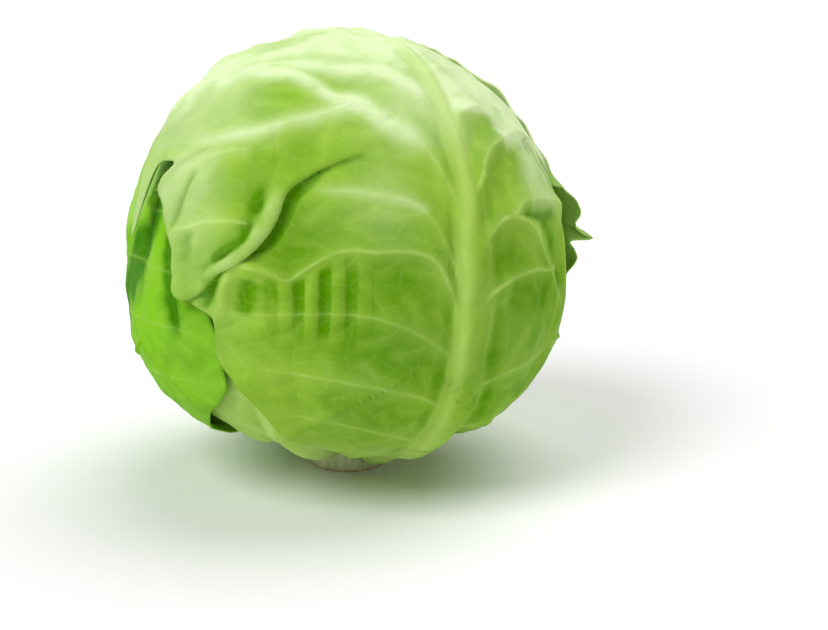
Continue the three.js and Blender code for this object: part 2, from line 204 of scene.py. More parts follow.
def make_stalk():
    bpy.ops.object.select_all(action="DESELECT")
    bpy.ops.mesh.primitive_circle_add(vertices=24 * FLUTES.count, radius=STALK.face * MM, fill_type="NGON")
    piece = bpy.context.object
    piece.name = "cut_stalk"
    bpy.ops.object.mode_set(mode="EDIT")
    bpy.ops.mesh.select_mode(type="FACE")
    bpy.ops.mesh.select_all(action="SELECT")
    for share in CUT_RINGS:
        bpy.ops.mesh.inset(thickness=share * STALK.face * MM)
    bpy.ops.mesh.poke()
    bpy.ops.mesh.select_mode(type="EDGE")
    bpy.ops.mesh.select_all(action="DESELECT")
    bpy.ops.mesh.select_non_manifold()
    level, radius = 0.0, STALK.face
    for height, width in STALK_RINGS:
        up = (0, 0, (height - level) * MM)
        bpy.ops.mesh.extrude_edges_move(TRANSFORM_OT_translate={"value": up})
        bpy.ops.transform.resize(value=(width / radius, width / radius, 1))
        level, radius = height, width
    bpy.ops.mesh.fill()
    bpy.ops.mesh.select_all(action="SELECT")
    bpy.ops.mesh.normals_make_consistent(inside=False)
    bpy.ops.object.mode_set(mode="OBJECT")
    for vertex in piece.data.vertices:
        x, y, z = vertex.co / MM
        if z > STALK_RINGS[0][0] / 2:  # the cut face stays flat
            around = FLUTES.count * np.arctan2(y, x)
            ridge = sin(around) + 0.5 * sin(2 * around + FLUTES.twist * z)
            share = 1 + FLUTES.depth * (ridge - 1.5) / STALK.radius
            vertex.co.x *= share
            vertex.co.y *= share
    bpy.ops.object.shade_smooth_by_angle(angle=radians(35))
    piece.data.materials.append(stem_finish())
    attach(piece, "root")
    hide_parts("stalk")


make_stalk()

# ---- Heart ---------------------------------------------------------------------------------------
# The dense ball of leaves folded over each other, pale because no light reached them. They hold
# together as one body, and only the edges of the outermost of them show, as low steps.
HEART = SimpleNamespace(x=82.0, y=80.0, above=91.0, below=63.0, roundness=2.15)
# Fuller places of the heart: the way from its middle, the height, and the spread.
SHOULDERS = [((0.43, -0.1, 0.9), 2.6, 0.08), ((-0.6, -0.05, 0.8), 1.0, 0.04), ((0.95, 0, 0.31), 2.0, 0.14)]
HEART_STEP, STEP_EDGE = 0.9, 4.0  # how high each step is, and how wide its edge
GAP = 0.5  # what is left between pieces that touch
SPIRAL_STEP = 137.5  # degrees round the stem from one leaf to the next
WRAP_RADIUS = 92.0  # a leaf's flat outline is wrapped round a ball of this radius
FLAT_UNIT = 100.0  # millimetres of the flat leaf to one unit of its map
# A leaf's blade, whose flat middle stands some degrees above the level. It widens up to a share of its
# length, full_at, and narrows from taper_from on. Its sides clasp the stalk and drop back at the tip, its
# margins wobble, and towards them it thins over edge_reach to a share of its thickness, edge.
BLADE = SimpleNamespace(thickness=1.2, latitude=8.0, at_stalk=14.0, clasp=5.0, full_at=0.4, taper_from=0.6,
                        tip_drop=0.14, wobble=0.022, edge=0.45, edge_reach=7.0)


def mix(first, second, share):
    return first + (second - first) * share


def smooth(x):
    x = np.clip(x, 0, 1)
    return x * x * (3 - 2 * x)


def bell(x):
    return np.exp(-x * x)


def rise(x, start, reach):
    """Goes smoothly from 0 at start to 1 a reach further on. A reach below 0 lies on the other side."""
    return smooth((x - start) / reach)


def spot(x, middle, spread):
    """1 at the middle, and fading away on both sides of it."""
    return bell((x - middle) / spread)


def heart_radius(d):
    """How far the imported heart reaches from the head's centre in each direction d."""
    n = HEART.roundness
    high = np.where(d[:, 2] > 0, HEART.above, HEART.below)
    plain = abs(d[:, 0] / HEART.x) ** n + abs(d[:, 1] / HEART.y) ** n + abs(d[:, 2] / high) ** n
    fuller = [height * bell((1 - d @ np.array(towards)) / spread) for towards, height, spread in SHOULDERS]
    return plain ** (-1 / n) + sum(fuller)


def new_leaf(azimuth, lean, left, right, past_crown, phase, **more):
    """A leaf's outline and how it lies. azimuth is where it stands, in degrees from the front. left and
    right are its widths beside the midrib in mm, and past_crown is how far its tip passes the top, in
    degrees. Below each of its steps the left side is narrower, and a nick is cut into it."""
    shape = dict(taper=0.3, skew=0.0, flare=(1, 1, 0), steps=[], nick=None)
    leaf = SimpleNamespace(**{**shape, **more}, left=left, right=right, phase=phase)
    turned, risen, leaning = radians(azimuth), radians(BLADE.latitude), radians(lean)
    level = np.array([cos(turned), sin(turned), 0])
    leaf.out = np.array([sin(turned) * cos(risen), -cos(turned) * cos(risen), sin(risen)])
    up = np.cross(leaf.out, level)
    leaf.across = level * cos(leaning) + up * sin(leaning)
    leaf.along = up * cos(leaning) - level * sin(leaning)
    leaf.lean = leaning
    leaf.tip = radians(90 - BLADE.latitude + past_crown) * WRAP_RADIUS
    return leaf


def bare_bed(d):
    """The radius of the middle of a blade that lies on the heart."""
    return heart_radius(d) + 1.5 * GAP + BLADE.thickness / 2


def seat_root(leaf, bed):
    """The leaf's root lies on its own side of the stalk, just clear of it. bed gives the radius there. The
    angle from the stalk is found by repeating, from a fair first guess."""
    from_stalk = 17.0
    for _ in range(6):
        leaf.base = -radians(90 + BLADE.latitude - from_stalk) * WRAP_RADIUS * cos(leaf.lean)
        leaf.root_shift = leaf.base * tan(leaf.lean)
        root = direction(leaf, np.array([leaf.root_shift]), np.array([leaf.base]))
        from_stalk = np.degrees(np.arcsin((STALK.flare + 3 * GAP) / bed(root)))[0]
    leaf.length = leaf.tip - leaf.base


def half_width(leaf, side, v):
    """From the midrib to the margin on the side that the sign of side gives."""
    full = np.where(side < 0, leaf.left, leaf.right).astype(float)
    for at, reach, narrower in leaf.steps:
        full = full - np.where(side < 0, narrower * (1 - smooth((v - at) / reach + 0.5)), 0)
    if leaf.nick:
        full = full - np.where(side < 0, leaf.nick.depth * bell((v - leaf.nick.at) / leaf.nick.reach), 0)
    wander = np.sin(19 * v + leaf.phase + 2 * np.sign(side)) + 0.6 * np.sin(41 * v - leaf.phase)
    full = full * (1 + BLADE.wobble * wander)
    widening = mix(BLADE.at_stalk, full, smooth(v / BLADE.full_at) ** 0.75)
    to_tip = np.clip((v - BLADE.taper_from) / (1 - BLADE.taper_from), 0, 1)
    return widening * (1 - leaf.taper * to_tip**2)


def midline(leaf, v):
    """Where the midrib lies across the flat leaf. It bends to its root on the stalk."""
    return leaf.root_shift * np.clip(1 - v, 0, 1) ** 2.5


def drop(leaf, u, v):
    """How far the sides fall behind the midrib, towards the tip and where they clasp the stalk."""
    behind = (BLADE.tip_drop * u * u + leaf.skew * u) * np.clip(v, 0, 1) ** 2
    return behind + BLADE.clasp * u * u * np.clip(1 - v, 0, 1) ** 8 / leaf.length


def direction(leaf, p, q):
    """From the head's centre to the place p across and q along the flat leaf, in mm."""
    flat = np.maximum(np.hypot(p, q), 1e-9)
    k = (np.sin(flat / WRAP_RADIUS) / flat)[:, None]
    sideways = p[:, None] * leaf.across + q[:, None] * leaf.along
    return np.cos(flat / WRAP_RADIUS)[:, None] * leaf.out + k * sideways


def flat_place(leaf, d):
    """The same, back from the direction d to p and q."""
    angle = np.arccos(np.clip(d @ leaf.out, -1, 1))
    x, y = d @ leaf.across, d @ leaf.along
    k = WRAP_RADIUS * angle / np.maximum(np.hypot(x, y), 1e-9)
    return k * x, k * y


def blade_place(leaf, p, q):
    """u runs from -1 to 1 between the margins and v from 0 at the stalk to 1 at the tip."""
    plain = (q - leaf.base) / leaf.length
    v = plain
    for _ in range(4):
        x = p - midline(leaf, v)
        u = np.clip(x / half_width(leaf, x, v), -2, 2)
        v = plain + drop(leaf, u, v)
    return u, v


def from_edge(leaf, u, v):
    """How far a place lies from the margin at its side or from the tip, whichever is nearer."""
    return np.minimum((1 - abs(u)) * half_width(leaf, u, v), (1 - v) * leaf.length)


def inside_by(leaf, u, v):
    """How far inside the blade's outline a place lies. It falls off fast at the stalk."""
    return np.minimum(from_edge(leaf, u, v), 3 * v * leaf.length)


def leaf_finish(name, deep, fresh, pale, wax):
    """A leaf's blade: fresh green with deeper patches, pale veins, a faint net of fine veins and a thin
    waxy film.
    Painted shade deepens the green in its hollows, creases and recesses, and painted light pales it on some
    folds.
    The waxy colour laid on thick is partly a painted highlight where light falls strongest."""
    deep, fresh, pale, wax = (paint(*colour) for colour in (deep, fresh, pale, wax))
    material, start, inputs, place = new_finish(name)
    flat = start.node("ShaderNodeUVMap", {"uv_map": "blade"}, {}, "UV").stretch(FLAT_UNIT, FLAT_UNIT, 0)
    known = "rib", "vein", "off_vein", "twig", "off_twig", "ripe", "bloom", "young"
    read = {mark: start.node("ShaderNodeAttribute", {"attribute_name": mark}, {}, "Fac") for mark in known}
    ripe, bloom = read["ripe"], read["bloom"]
    uneven = place.noise(8, 3).band(0.3, 0.65, 0.55, 1)
    vein, twig = (read[mark] * uneven * read["off_" + mark].size().band(1, 0) for mark in ("vein", "twig"))
    wander = flat.noise(9, 2, output=1).stretch(3.4, 3.4, 0)
    warped = flat.node("ShaderNodeVectorMath", {"operation": "ADD"}, {0: flat, 1: wander})

    def net(cell, width):
        settings = {"feature": "DISTANCE_TO_EDGE", "voronoi_dimensions": "2D"}
        edge = warped.node("ShaderNodeTexVoronoi", settings, {"Vector": warped, "Scale": 1 / cell})
        return (edge * cell).band(width, 0.2 * width)

    coarse, fine = net(8.5, 1.1), net(3.1, 0.6)
    patches = place.noise(23, 4).band(0.36, 0.66)
    specks = place.noise(2.2, 3)
    # The deep green laid on here is partly the blade's own deeper tone and mostly painted shade; where its
    # share falls below 0 it is painted light.
    blade = (ripe + patches * 0.24 + specks * 0.16 - 0.14).blend(fresh, deep)
    blade = (read["young"] * 0.75).blend(blade, pale)
    soft_lines = read["rib"].most(read["vein"] * 0.3).most(coarse * 0.045 + fine * 0.025)
    lines = soft_lines.most(vein).most(twig)
    colour = lines.blend(blade, pale)
    thin_film = place.noise(38, 5).band(0.4, 0.72) * (0.12 - ripe * 0.12)
    # The thick waxy coat laid on here is partly a real waxy film and partly a painted highlight where light
    # falls strongest.
    film = bloom * place.noise(11, 4).band(0.3, 0.62, 0.72, 1.06) + thin_film
    colour = film.blend(colour, wax)
    relief = coarse * 0.035 + fine * 0.02 + place.noise(6.5, 3) * 0.16 + place.noise(0.9, 2) * 0.03
    relief = relief + vein * 0.35 + twig * 0.2
    roughness = place.noise(14, 4).band(0.3, 0.7, 0.46, 0.58) + bloom * 0.06
    dress(inputs, Base_Color=colour, Roughness=roughness, Normal=bump(relief))
    dress(inputs, Subsurface_Weight=0.08, Subsurface_Radius=(0.6, 1.0, 0.3), Subsurface_Scale=0.002)
    dress(inputs, Specular_IOR_Level=0.01)
    return material


def make_heart():
    bpy.ops.object.select_all(action="DESELECT")
    bpy.ops.mesh.primitive_uv_sphere_add(segments=180, ring_count=100, radius=1, calc_uvs=True)
    piece = bpy.context.object
    piece.name = "packed_heart"
    d = np.array([vertex.co[:] for vertex in piece.data.vertices])
    d /= np.linalg.norm(d, axis=1)[:, None]
    radius = heart_radius(d) - len(HEART_LEAVES) * HEART_STEP
    for leaf in HEART_LEAVES:
        inside = inside_by(leaf, *blade_place(leaf, *flat_place(leaf, d)))
        radius += HEART_STEP * rise(inside, -STEP_EDGE / 2, STEP_EDGE)
    points = HEAD_CENTRE + d * radius[:, None]
    points[:, 2] = np.maximum(points[:, 2], STALK.height + GAP)
    piece.data.vertices.foreach_set("co", (points * MM).astype(np.float32).ravel())
    piece.data.uv_layers[0].name = "blade"
    bpy.ops.object.shade_smooth()
    finish = leaf_finish("heart_leaf", deep=(178, 201, 110), fresh=(206, 222, 150), pale=(230, 236, 194),
                         wax=(232, 238, 205))
    piece.data.materials.append(finish)
    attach(piece, "root")
    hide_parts("heart")


# Its four outermost leaves, each a spiral step round from the last and reaching less far over the top.
HEART_LEAVES = [new_leaf((60 + SPIRAL_STEP * i) % 360, lean=4 - 3 * i, left=100, right=100,
                         past_crown=6 - 5 * i, phase=i) for i in range(4)]
for leaf in HEART_LEAVES:
    seat_root(leaf, bare_bed)
make_heart()

# ---- The three inner wrapper leaves --------------------------------------------------------------
# Six big leaves wrap the heart, and these lie nearest to it, lighter than the three outside them. A
# leaf is a thin blade on a thick midrib that stands out on its outer face. It was grown round what it
# lies on and holds on by the stalk, where its midrib starts.
OUTERMOST_AZIMUTH = 167.9
LAYER = SimpleNamespace(at_stalk=2.8, at_side=3.5)  # the room that a leaf takes up under the next one
DRAPE = 22.0  # how far outside a leaf's margin the next one starts to be lifted over it
# At the stalk and at the tip. The leaf over a midrib leaves it some clearance at its sides.
MIDRIB = SimpleNamespace(height=6.0, half_width=14.0, tip_height=0.5, tip_half_width=3.5, clearance=5.0)
# Long waves of the blade, how far it swells between side veins and between small ones, the long ruffles
# of its margins, and the small crimps on those.
WAVE = SimpleNamespace(covered=0.25, open=0.5, across=17.0, along=21.0)
PILLOW = SimpleNamespace(height=1.3, pitch=26.0, rise=24.0, bend=38.0)
PUCKER = 0.35
RUFFLE = SimpleNamespace(reach=24.0, height=0.48, lobes=11)
CRIMP = SimpleNamespace(reach=9.0, height=0.4)
# The side veins and their twigs: how wide, how far they stand out and how clearly they show, at the root
# and at the end. A side vein is clearer on a higher ridge, and the ridge spreads this far beside it.
SIDE_VEIN = SimpleNamespace(reach=130, points=44, inside=3.5, width=(2.1, 1.2), proud=(0.5, 0.25),
                            clear=0.27, by_ridge=0.19, ridge_spread=5.5)
TWIG = SimpleNamespace(length=17.0, spacing=9.75, angle=(48, 66), points=8, reach=6.0, inside=2.0,
                       width=(1.1, 0.7), proud=(0.1, 0.05), clear=(0.14, 0.05))
# The pale strip on the midrib, low down and high up: how pale, where across the rib, and how wide. It lies
# towards the rib's left side, where light falls, so it is partly painted highlight.
PALE_STRIP = SimpleNamespace(pale=(0.38, 0.72), at=(-0.48, 0.15), spread=(0.33, 0.8))
# Where along the front leaf its left side steps in, over what share of its length, and by how much.
FRONT_STEPS = [(0.8, 0.03, 17), (0.7, 0.06, 6), (0.58, 0.14, 8), (0.47, 0.05, 14)]
FRONT_NICK = SimpleNamespace(at=0.77, reach=0.022, depth=15)


def spiral(places_from_outermost):
    return OUTERMOST_AZIMUTH - SPIRAL_STEP * places_from_outermost


LEAVES = [  # from the innermost to the outermost
    new_leaf(spiral(5), 6, 112, 104, -12, 0.0),
    new_leaf(spiral(4), -4, 104, 112, -6, 1.7),
    new_leaf(spiral(3), 5, 116, 110, 4, 3.4),
    new_leaf(spiral(2), 4, 120, 118, -4, 5.1, flare=(1.5, 1.5, 1)),
    new_leaf(spiral(1), -7, 150, 112, 14, 6.8, flare=(1.8, 2, 0.4), taper=0.2, steps=FRONT_STEPS,
             nick=FRONT_NICK),
    new_leaf(spiral(0), 6, 124, 122, -27, 8.5, flare=(0.3, 2, 0), skew=0.07, steps=[(0.87, 0.1, 16)]),
]
INNER_BACK, INNER_FRONT, INNER_RIGHT, LEFT, FRONT, BACK = range(6)


def covers(leaf, u, v):
    """1 over the leaf, falling to 0 outside its margin, as what lies over it drapes down."""
    return smooth((inside_by(leaf, u, v) + DRAPE) / (DRAPE - 1))


def rib_half_width(v):
    return mix(MIDRIB.tip_half_width, MIDRIB.half_width, np.clip(1 - v, 0, 1) ** 1.4)


def rib_height(leaf, p, v, spread=0.0):
    height = mix(MIDRIB.tip_height, MIDRIB.height, np.clip(1 - v, 0, 1) ** 1.6)
    x = np.clip(abs((p - midline(leaf, v)) / (rib_half_width(v) + spread)), 0, 1)
    return height * (1 - x * x) ** 1.5 * smooth((1 - v) / 0.1)


def bed_radius(order, d):
    """The radius that leaf number order lies on: the heart, and a step for each leaf under it."""
    from_stalk = np.degrees(np.arccos(np.clip(-d[:, 2], -1, 1)))
    step = mix(LAYER.at_stalk, LAYER.at_side, rise(from_stalk, 15, 45))
    radius = bare_bed(d)
    for under in LEAVES[:order]:
        p, q = flat_place(under, d)
        u, v = blade_place(under, p, q)
        radius += covers(under, u, v) * (step + rib_height(under, p, v, MIDRIB.clearance))
    return radius


def openness(order, d):
    """1 where no later leaf lies over this direction, 0 under one."""
    open_air = np.ones(len(d))
    for over in LEAVES[order + 1:]:
        open_air *= 1 - covers(over, *blade_place(over, *flat_place(over, d)))
    return open_air


for order, leaf in enumerate(LEAVES):
    seat_root(leaf, partial(bed_radius, order))


def rounded(points, per_span=6):
    """A smooth line through given points."""
    ends = np.array([points[0], *points, points[-1]], float)
    share = np.linspace(0, 1, per_span, endpoint=False)[:, None]
    line = []
    for a, b, c, d in zip(ends, ends[1:], ends[2:], ends[3:]):
        curve = 2 * b + (c - a) * share + (2 * a - 5 * b + 4 * c - d) * share**2
        line.append((curve + (3 * b - a - 3 * c + d) * share**3) / 2)
    return np.concatenate([*line, ends[-1:]])


def inside_part(leaf, line, least):
    """The start of a line, as far as it stays at least so far inside the blade."""
    inside = inside_by(leaf, *blade_place(leaf, *line.T))
    outside = np.flatnonzero(inside < least)
    return line[:outside[0]] if len(outside) else line


def side_veins(leaf, rng, skip=lambda side, q: False, ridge=0.5):
    """They leave the midrib a pitch apart on alternate sides and bend up towards the tip. Each is the
    height of the ridge in which it lifts the blade, and its line."""
    lines = []
    for side in (-1, 1):
        for k in range(-6, 8):
            q_start = PILLOW.pitch * (k - (0.5 if side > 0 else 0))
            v_start = (q_start - leaf.base) / leaf.length
            if not 0.08 < v_start < 0.96 or skip(side, q_start):
                continue
            x = np.linspace(0, SIDE_VEIN.reach, SIDE_VEIN.points)
            # It swings a little to both sides, each in its own way.
            swing = rng.normal(0, 1.6) * np.sin(x / rng.uniform(14, 22) + rng.uniform(0, 6))
            q = q_start + PILLOW.rise * (1 - np.exp(-x / PILLOW.bend)) + swing * smooth(x / 20)
            p = midline(leaf, np.full(SIDE_VEIN.points, v_start)) + side * x
            line = inside_part(leaf, np.stack([p, q], 1), SIDE_VEIN.inside)
            if len(line) > 4:
                lines.append((ridge, line))
    return lines


def twigs(leaf, veins, rng):
    """The veins' branches. They leave on alternate sides and bend back towards the vein's own way."""
    lines = []
    share = np.linspace(0, 1, TWIG.points)
    for _, vein in veins:
        step = np.linalg.norm(np.diff(vein, axis=0), axis=1)
        run = np.concatenate([[0], np.cumsum(step)])
        side = rng.choice((-1, 1))
        at = rng.uniform(7, 12)
        while at < run[-1] - 3:
            start = np.array([np.interp(at, run, vein[:, 0]), np.interp(at, run, vein[:, 1])])
            ahead = np.array([np.interp(at + 2, run, vein[:, 0]), np.interp(at + 2, run, vein[:, 1])])
            way = np.arctan2(*(ahead - start)[::-1])
            length = TWIG.length * rng.uniform(0.7, 1.2)
            heading = way + side * radians(rng.uniform(*TWIG.angle)) * (1 - 0.55 * share)
            steps = np.stack([np.cos(heading), np.sin(heading)], 1) * length / (TWIG.points - 1)
            line = start + np.concatenate([[[0, 0]], np.cumsum(steps[:-1], axis=0)])
            line = inside_part(leaf, line, TWIG.inside)
            if len(line) > 3:
                lines.append(line)
            side = -side
            at += TWIG.spacing * rng.uniform(0.6, 1.2)
    return lines


def from_line(line, p, q):
    """The distance from a line, positive on the left of its way, the share of it run, and its way."""
    start, way = line[:-1], np.diff(line, axis=0)
    place = np.stack([p, q], 1)[:, None]
    share = np.clip(((place - start) * way).sum(2) / np.maximum((way * way).sum(1), 1e-9), 0, 1)
    apart = place - start - share[..., None] * way
    gap = np.linalg.norm(apart, axis=2)
    nearest = gap.argmin(1)
    picked = np.arange(len(p)), nearest
    way, apart = way[nearest], apart[picked]
    side = np.where(way[:, 0] * apart[:, 1] < way[:, 1] * apart[:, 0], -1, 1)
    way = way / np.maximum(np.linalg.norm(way, axis=1), 1e-9)[:, None]
    return side * gap[picked], (nearest + share[picked]) / len(start), way


def along_lines(lines, p, q, reach):
    """The same for the nearest of some lines, up to reach from it, with its number in place of its way."""
    near, run, which = np.full(len(p), float(reach)), np.zeros(len(p)), np.zeros(len(p), int)
    for number, line in enumerate(lines):
        low, high = line.min(0) - reach, line.max(0) + reach
        close = np.flatnonzero((p > low[0]) & (p < high[0]) & (q > low[1]) & (q < high[1]))
        if not len(close):
            continue
        beside, share, _ = from_line(line, p[close], q[close])
        closer = abs(beside) < abs(near[close])
        found = close[closer]
        near[found], run[found], which[found] = beside[closer], share[closer], number
    return near, run, which


def pillow(leaf, p, v, from_vein):
    """The blade swells between the side veins."""
    x = abs(p - midline(leaf, v))
    size = PILLOW.height * smooth(x / 22) * (1 - 0.5 * rise(v, 0.75, 0.2))
    return size * np.sin(pi * np.clip(from_vein / PILLOW.pitch, 0, 0.5)) ** 2


def margin_flare(leaf, u, v):
    """The margins stand off what lies under them, unevenly, in long ruffles."""
    left, right, tip = leaf.flare
    to_side = (1 - abs(u)) * half_width(leaf, u, v)
    to_tip = (1 - v) * leaf.length
    around = np.arctan2(v - 0.5, u) * RUFFLE.lobes + leaf.phase
    ruffle = 1 + RUFFLE.height * (np.sin(around) + 0.6 * np.sin(2 * around + 1))
    side = np.where(u < 0, left, right) * smooth(1 - to_side / RUFFLE.reach)
    return (side + tip * smooth(1 - to_tip / RUFFLE.reach)) * ruffle * rise(v, 0.3, 0.25)


def margin_frill(leaf, u, v):
    """Small crimps close to the margin, on top of its long ruffles."""
    around = np.arctan2(v - 0.5, u)
    crimp = np.sin(23 * around + leaf.phase + 2 * np.sin(5 * around)) + 0.6 * np.sin(41 * around)
    return CRIMP.height * (1 + crimp) * smooth(1 - from_edge(leaf, u, v) / CRIMP.reach) * rise(v, 0.3, 0.2)


def clear_of_stalk(points):
    """Moves what would lie inside the stalk out to its side."""
    reach = np.hypot(points[:, 0], points[:, 1])
    least = STALK.flare + GAP
    inside = (points[:, 2] < STALK.height + 5) & (reach < least)
    points[inside, :2] *= (least / reach[inside])[:, None]
    return points


def clouds(rng, p, q, size):
    """Uneven ground between -1 and 1, with features about size across."""
    cells = 64
    heights = rng.uniform(-1, 1, (cells, cells))
    x, y = p / size + cells / 2, q / size + cells / 2
    i, j = np.floor(x).astype(int), np.floor(y).astype(int)
    a, b = smooth(x - i), smooth(y - j)
    low = mix(heights[i, j], heights[i + 1, j], a)
    return mix(low, mix(heights[i, j + 1], heights[i + 1, j + 1], a), b)


def crumple(rng, p, q):
    """Soft creases that run together, as in a leaf that was bent while it grew."""
    bend = 9 * clouds(rng, p, q, 40)
    creases = 1 - abs(clouds(rng, p + bend, q - bend, 33)) * 1.8
    return 0.8 * np.maximum(creases, 0) ** 2 + 0.2 * (1 + clouds(rng, p, q, 12))


def fold_of(height, slide_p=0.0, slide_q=0.0, calm=1.0, loose=1.0, ripe=0.0, bloom=0.0):
    """How far a leaf's own folds lift each place and slide it over the flat leaf, the shares that they
    leave of the blade's swelling, calm, and of its margin's flare, loose, how much painted shade deepens
    its green there (below 0, painted light), and how thick its waxy colour is, partly a painted highlight."""
    return SimpleNamespace(**locals())


def hand_folds(drawn, p, q):
    """Ridges and grooves along given lines, each given by its height, how wide it spreads, how much painted
    shade deepens its green (below 0, painted light pales it), and its line. Gives their height and their
    painted shade at each place."""
    height, ripe = np.zeros(len(p)), np.zeros(len(p))
    for lifted, spread, green, points in drawn:
        beside, run, _ = along_lines([rounded(points)], p, q, 3.0 * spread)
        share = bell(beside / spread) * smooth(run / 0.2) * rise(run, 1, -0.2)
        height += lifted * share
        ripe += green * share
    return height, ripe


def no_folds(leaf, p, q, u, v):
    return fold_of(np.zeros(len(p)))


def crowded(x, low, high, places):
    """Even steps from low to high, drawn together round each place, given by its middle, its spread and
    how much closer they lie there."""
    fine = np.linspace(low, high, 800)
    closer = (more * spot(fine, middle, spread) for middle, spread, more in places)
    run = np.cumsum(sum(closer, np.ones(800)))
    return np.interp((x - low) / (high - low), (run - run[0]) / (run[-1] - run[0]), fine)


def shape_leaf(order, u, v, high, folds=no_folds, seed=1, veins=side_veins, smoothness=0.0):
    """A leaf laid on what it covers, with its ribs, veins and folds. u and v are rows of a grid. Gives
    the outer and the inner face, the place on the flat leaf, and what the finish needs to know."""
    leaf = LEAVES[order]
    rng = np.random.default_rng(seed)
    ridges, main = zip(*veins(leaf, rng))
    small = twigs(leaf, list(zip(ridges, main)), rng)
    p = midline(leaf, v) + u * half_width(leaf, u, v)
    q = mix(leaf.base, leaf.tip, v - drop(leaf, u, v))
    beside_main, along_main, which = along_lines(main, p, q, PILLOW.pitch / 2)
    beside_small, along_small, _ = along_lines(small, p, q, TWIG.reach)
    from_main, from_small = abs(beside_main), abs(beside_small)
    ridge = np.array(ridges)[which]
    from_rib = p - midline(leaf, v)
    x_rib = abs(from_rib) / rib_half_width(v)  # 1 at the midrib's edge
    to_edge = from_edge(leaf, u, v)

    # The middle of the blade. What lifts it fades out at the stalk, where leaves are pressed together.
    fold = folds(leaf, p, q, u, v)
    d = direction(leaf, p + fold.slide_p, q + fold.slide_q)
    open_air = openness(order, d)
    away = rise(v, 0.06, 0.2)
    wave = 1 + np.sin(p / WAVE.across + leaf.phase) * np.sin(q / WAVE.along + 2 * leaf.phase)
    pucker = PUCKER * smooth(np.minimum(from_main, from_small) / 5) * rise(x_rib, 1, 1.5)
    swelling = pillow(leaf, p, v, from_main) + crumple(rng, p, q) * rise(x_rib, 0.9, 0.8)
    tent = ridge * bell(from_main / SIDE_VEIN.ridge_spread) * rise(x_rib, 0.5, 0.8)
    tent *= smooth(along_main / 0.08) * rise(along_main, 1, -0.12)
    lift = (swelling * (1 - smoothness) + tent + pucker) * fold.calm + fold.height
    lift += (margin_flare(leaf, u, v) + margin_frill(leaf, u, v)) * fold.loose
    relief = wave * mix(WAVE.covered, WAVE.open, open_air)
    radius = bed_radius(order, d) + away * (relief + open_air * lift)
    middle = (HEAD_CENTRE + d * radius[:, None]).reshape(high, -1, 3)

    # Both faces. The veins stand out on the outer one.
    across = np.gradient(middle, axis=1)
    along = np.gradient(middle, axis=0)
    normal = np.cross(across, along).reshape(-1, 3)
    normal /= np.linalg.norm(normal, axis=1)[:, None]
    middle = middle.reshape(-1, 3)
    half = BLADE.thickness / 2 * mix(BLADE.edge, 1, smooth(to_edge / BLADE.edge_reach))
    main_width, small_width = mix(*SIDE_VEIN.width, along_main), mix(*TWIG.width, along_small)
    main_vein = bell(from_main / main_width) * mix(*SIDE_VEIN.proud, along_main)
    small_vein = bell(from_small / small_width) * mix(*TWIG.proud, along_small)
    veins_proud = open_air * smooth(to_edge / 12) * away * np.maximum(main_vein, small_vein)
    proud = rib_height(leaf, p, v) + veins_proud
    outer = clear_of_stalk(middle + normal * (half + proud)[:, None])
    inner = clear_of_stalk(middle - normal * half[:, None])

    # What the finish needs: where the pale ribs and veins are, where painted shade deepens the green, and
    # where the waxy colour lies thick, partly as a painted highlight.
    clear = (SIDE_VEIN.clear + SIDE_VEIN.by_ridge * ridge) * rise(x_rib, 0.35, 0.8)
    clear *= rise(along_main, 1, -0.15) * mix(1, 0.75, along_main)
    crown, up_rib = rise(q, 40, 60), rise(q, 10, 60)
    # The pale strip lies towards the midrib's left side, where light falls, and is paler near the crown:
    # partly the rib's own pale colour, partly painted highlight.
    strip = spot(np.sign(from_rib) * x_rib, mix(*PALE_STRIP.at, up_rib), mix(*PALE_STRIP.spread, up_rib))
    on_rib = mix(*PALE_STRIP.pale, up_rib) * strip + 0.12 * crown * rise(x_rib, 1, -0.15)
    on_rib += 0.22 * spot(x_rib, 0.9, 0.09)
    # The dark line just beside the midrib is painted shade.
    beside_rib = spot(x_rib, 1.25, 0.3) * (1 - 0.7 * up_rib)
    # Away from the veins the green deepens: partly the blade's own tone, partly painted shade in its
    # hollows.
    hollow = smooth(np.minimum(from_main / 11, from_small / 5))
    inside = smooth(to_edge / 5)
    finish_needs = {
        "rib": on_rib * inside,
        "vein": bell(from_main / main_width / 1.4) * clear * inside,
        "off_vein": np.clip(beside_main / main_width, -5, 5),
        "twig": bell(from_small / small_width / 1.4) * mix(*TWIG.clear, along_small) * inside,
        "off_twig": np.clip(beside_small / small_width, -5, 5),
        "ripe": np.clip(0.24 * hollow + 0.3 * beside_rib + fold.ripe, 0, 1),
        # Near the crown the waxy colour is thicker beside the veins, partly as a painted highlight on the
        # lit top.
        "bloom": np.clip(fold.bloom + 0.4 * crown * bell(from_main / 5) * smooth(x_rib - 1), 0, 1),
        "young": smooth(1 - v / 0.3),
    }
    return outer, inner, np.stack([p, q], 1), finish_needs


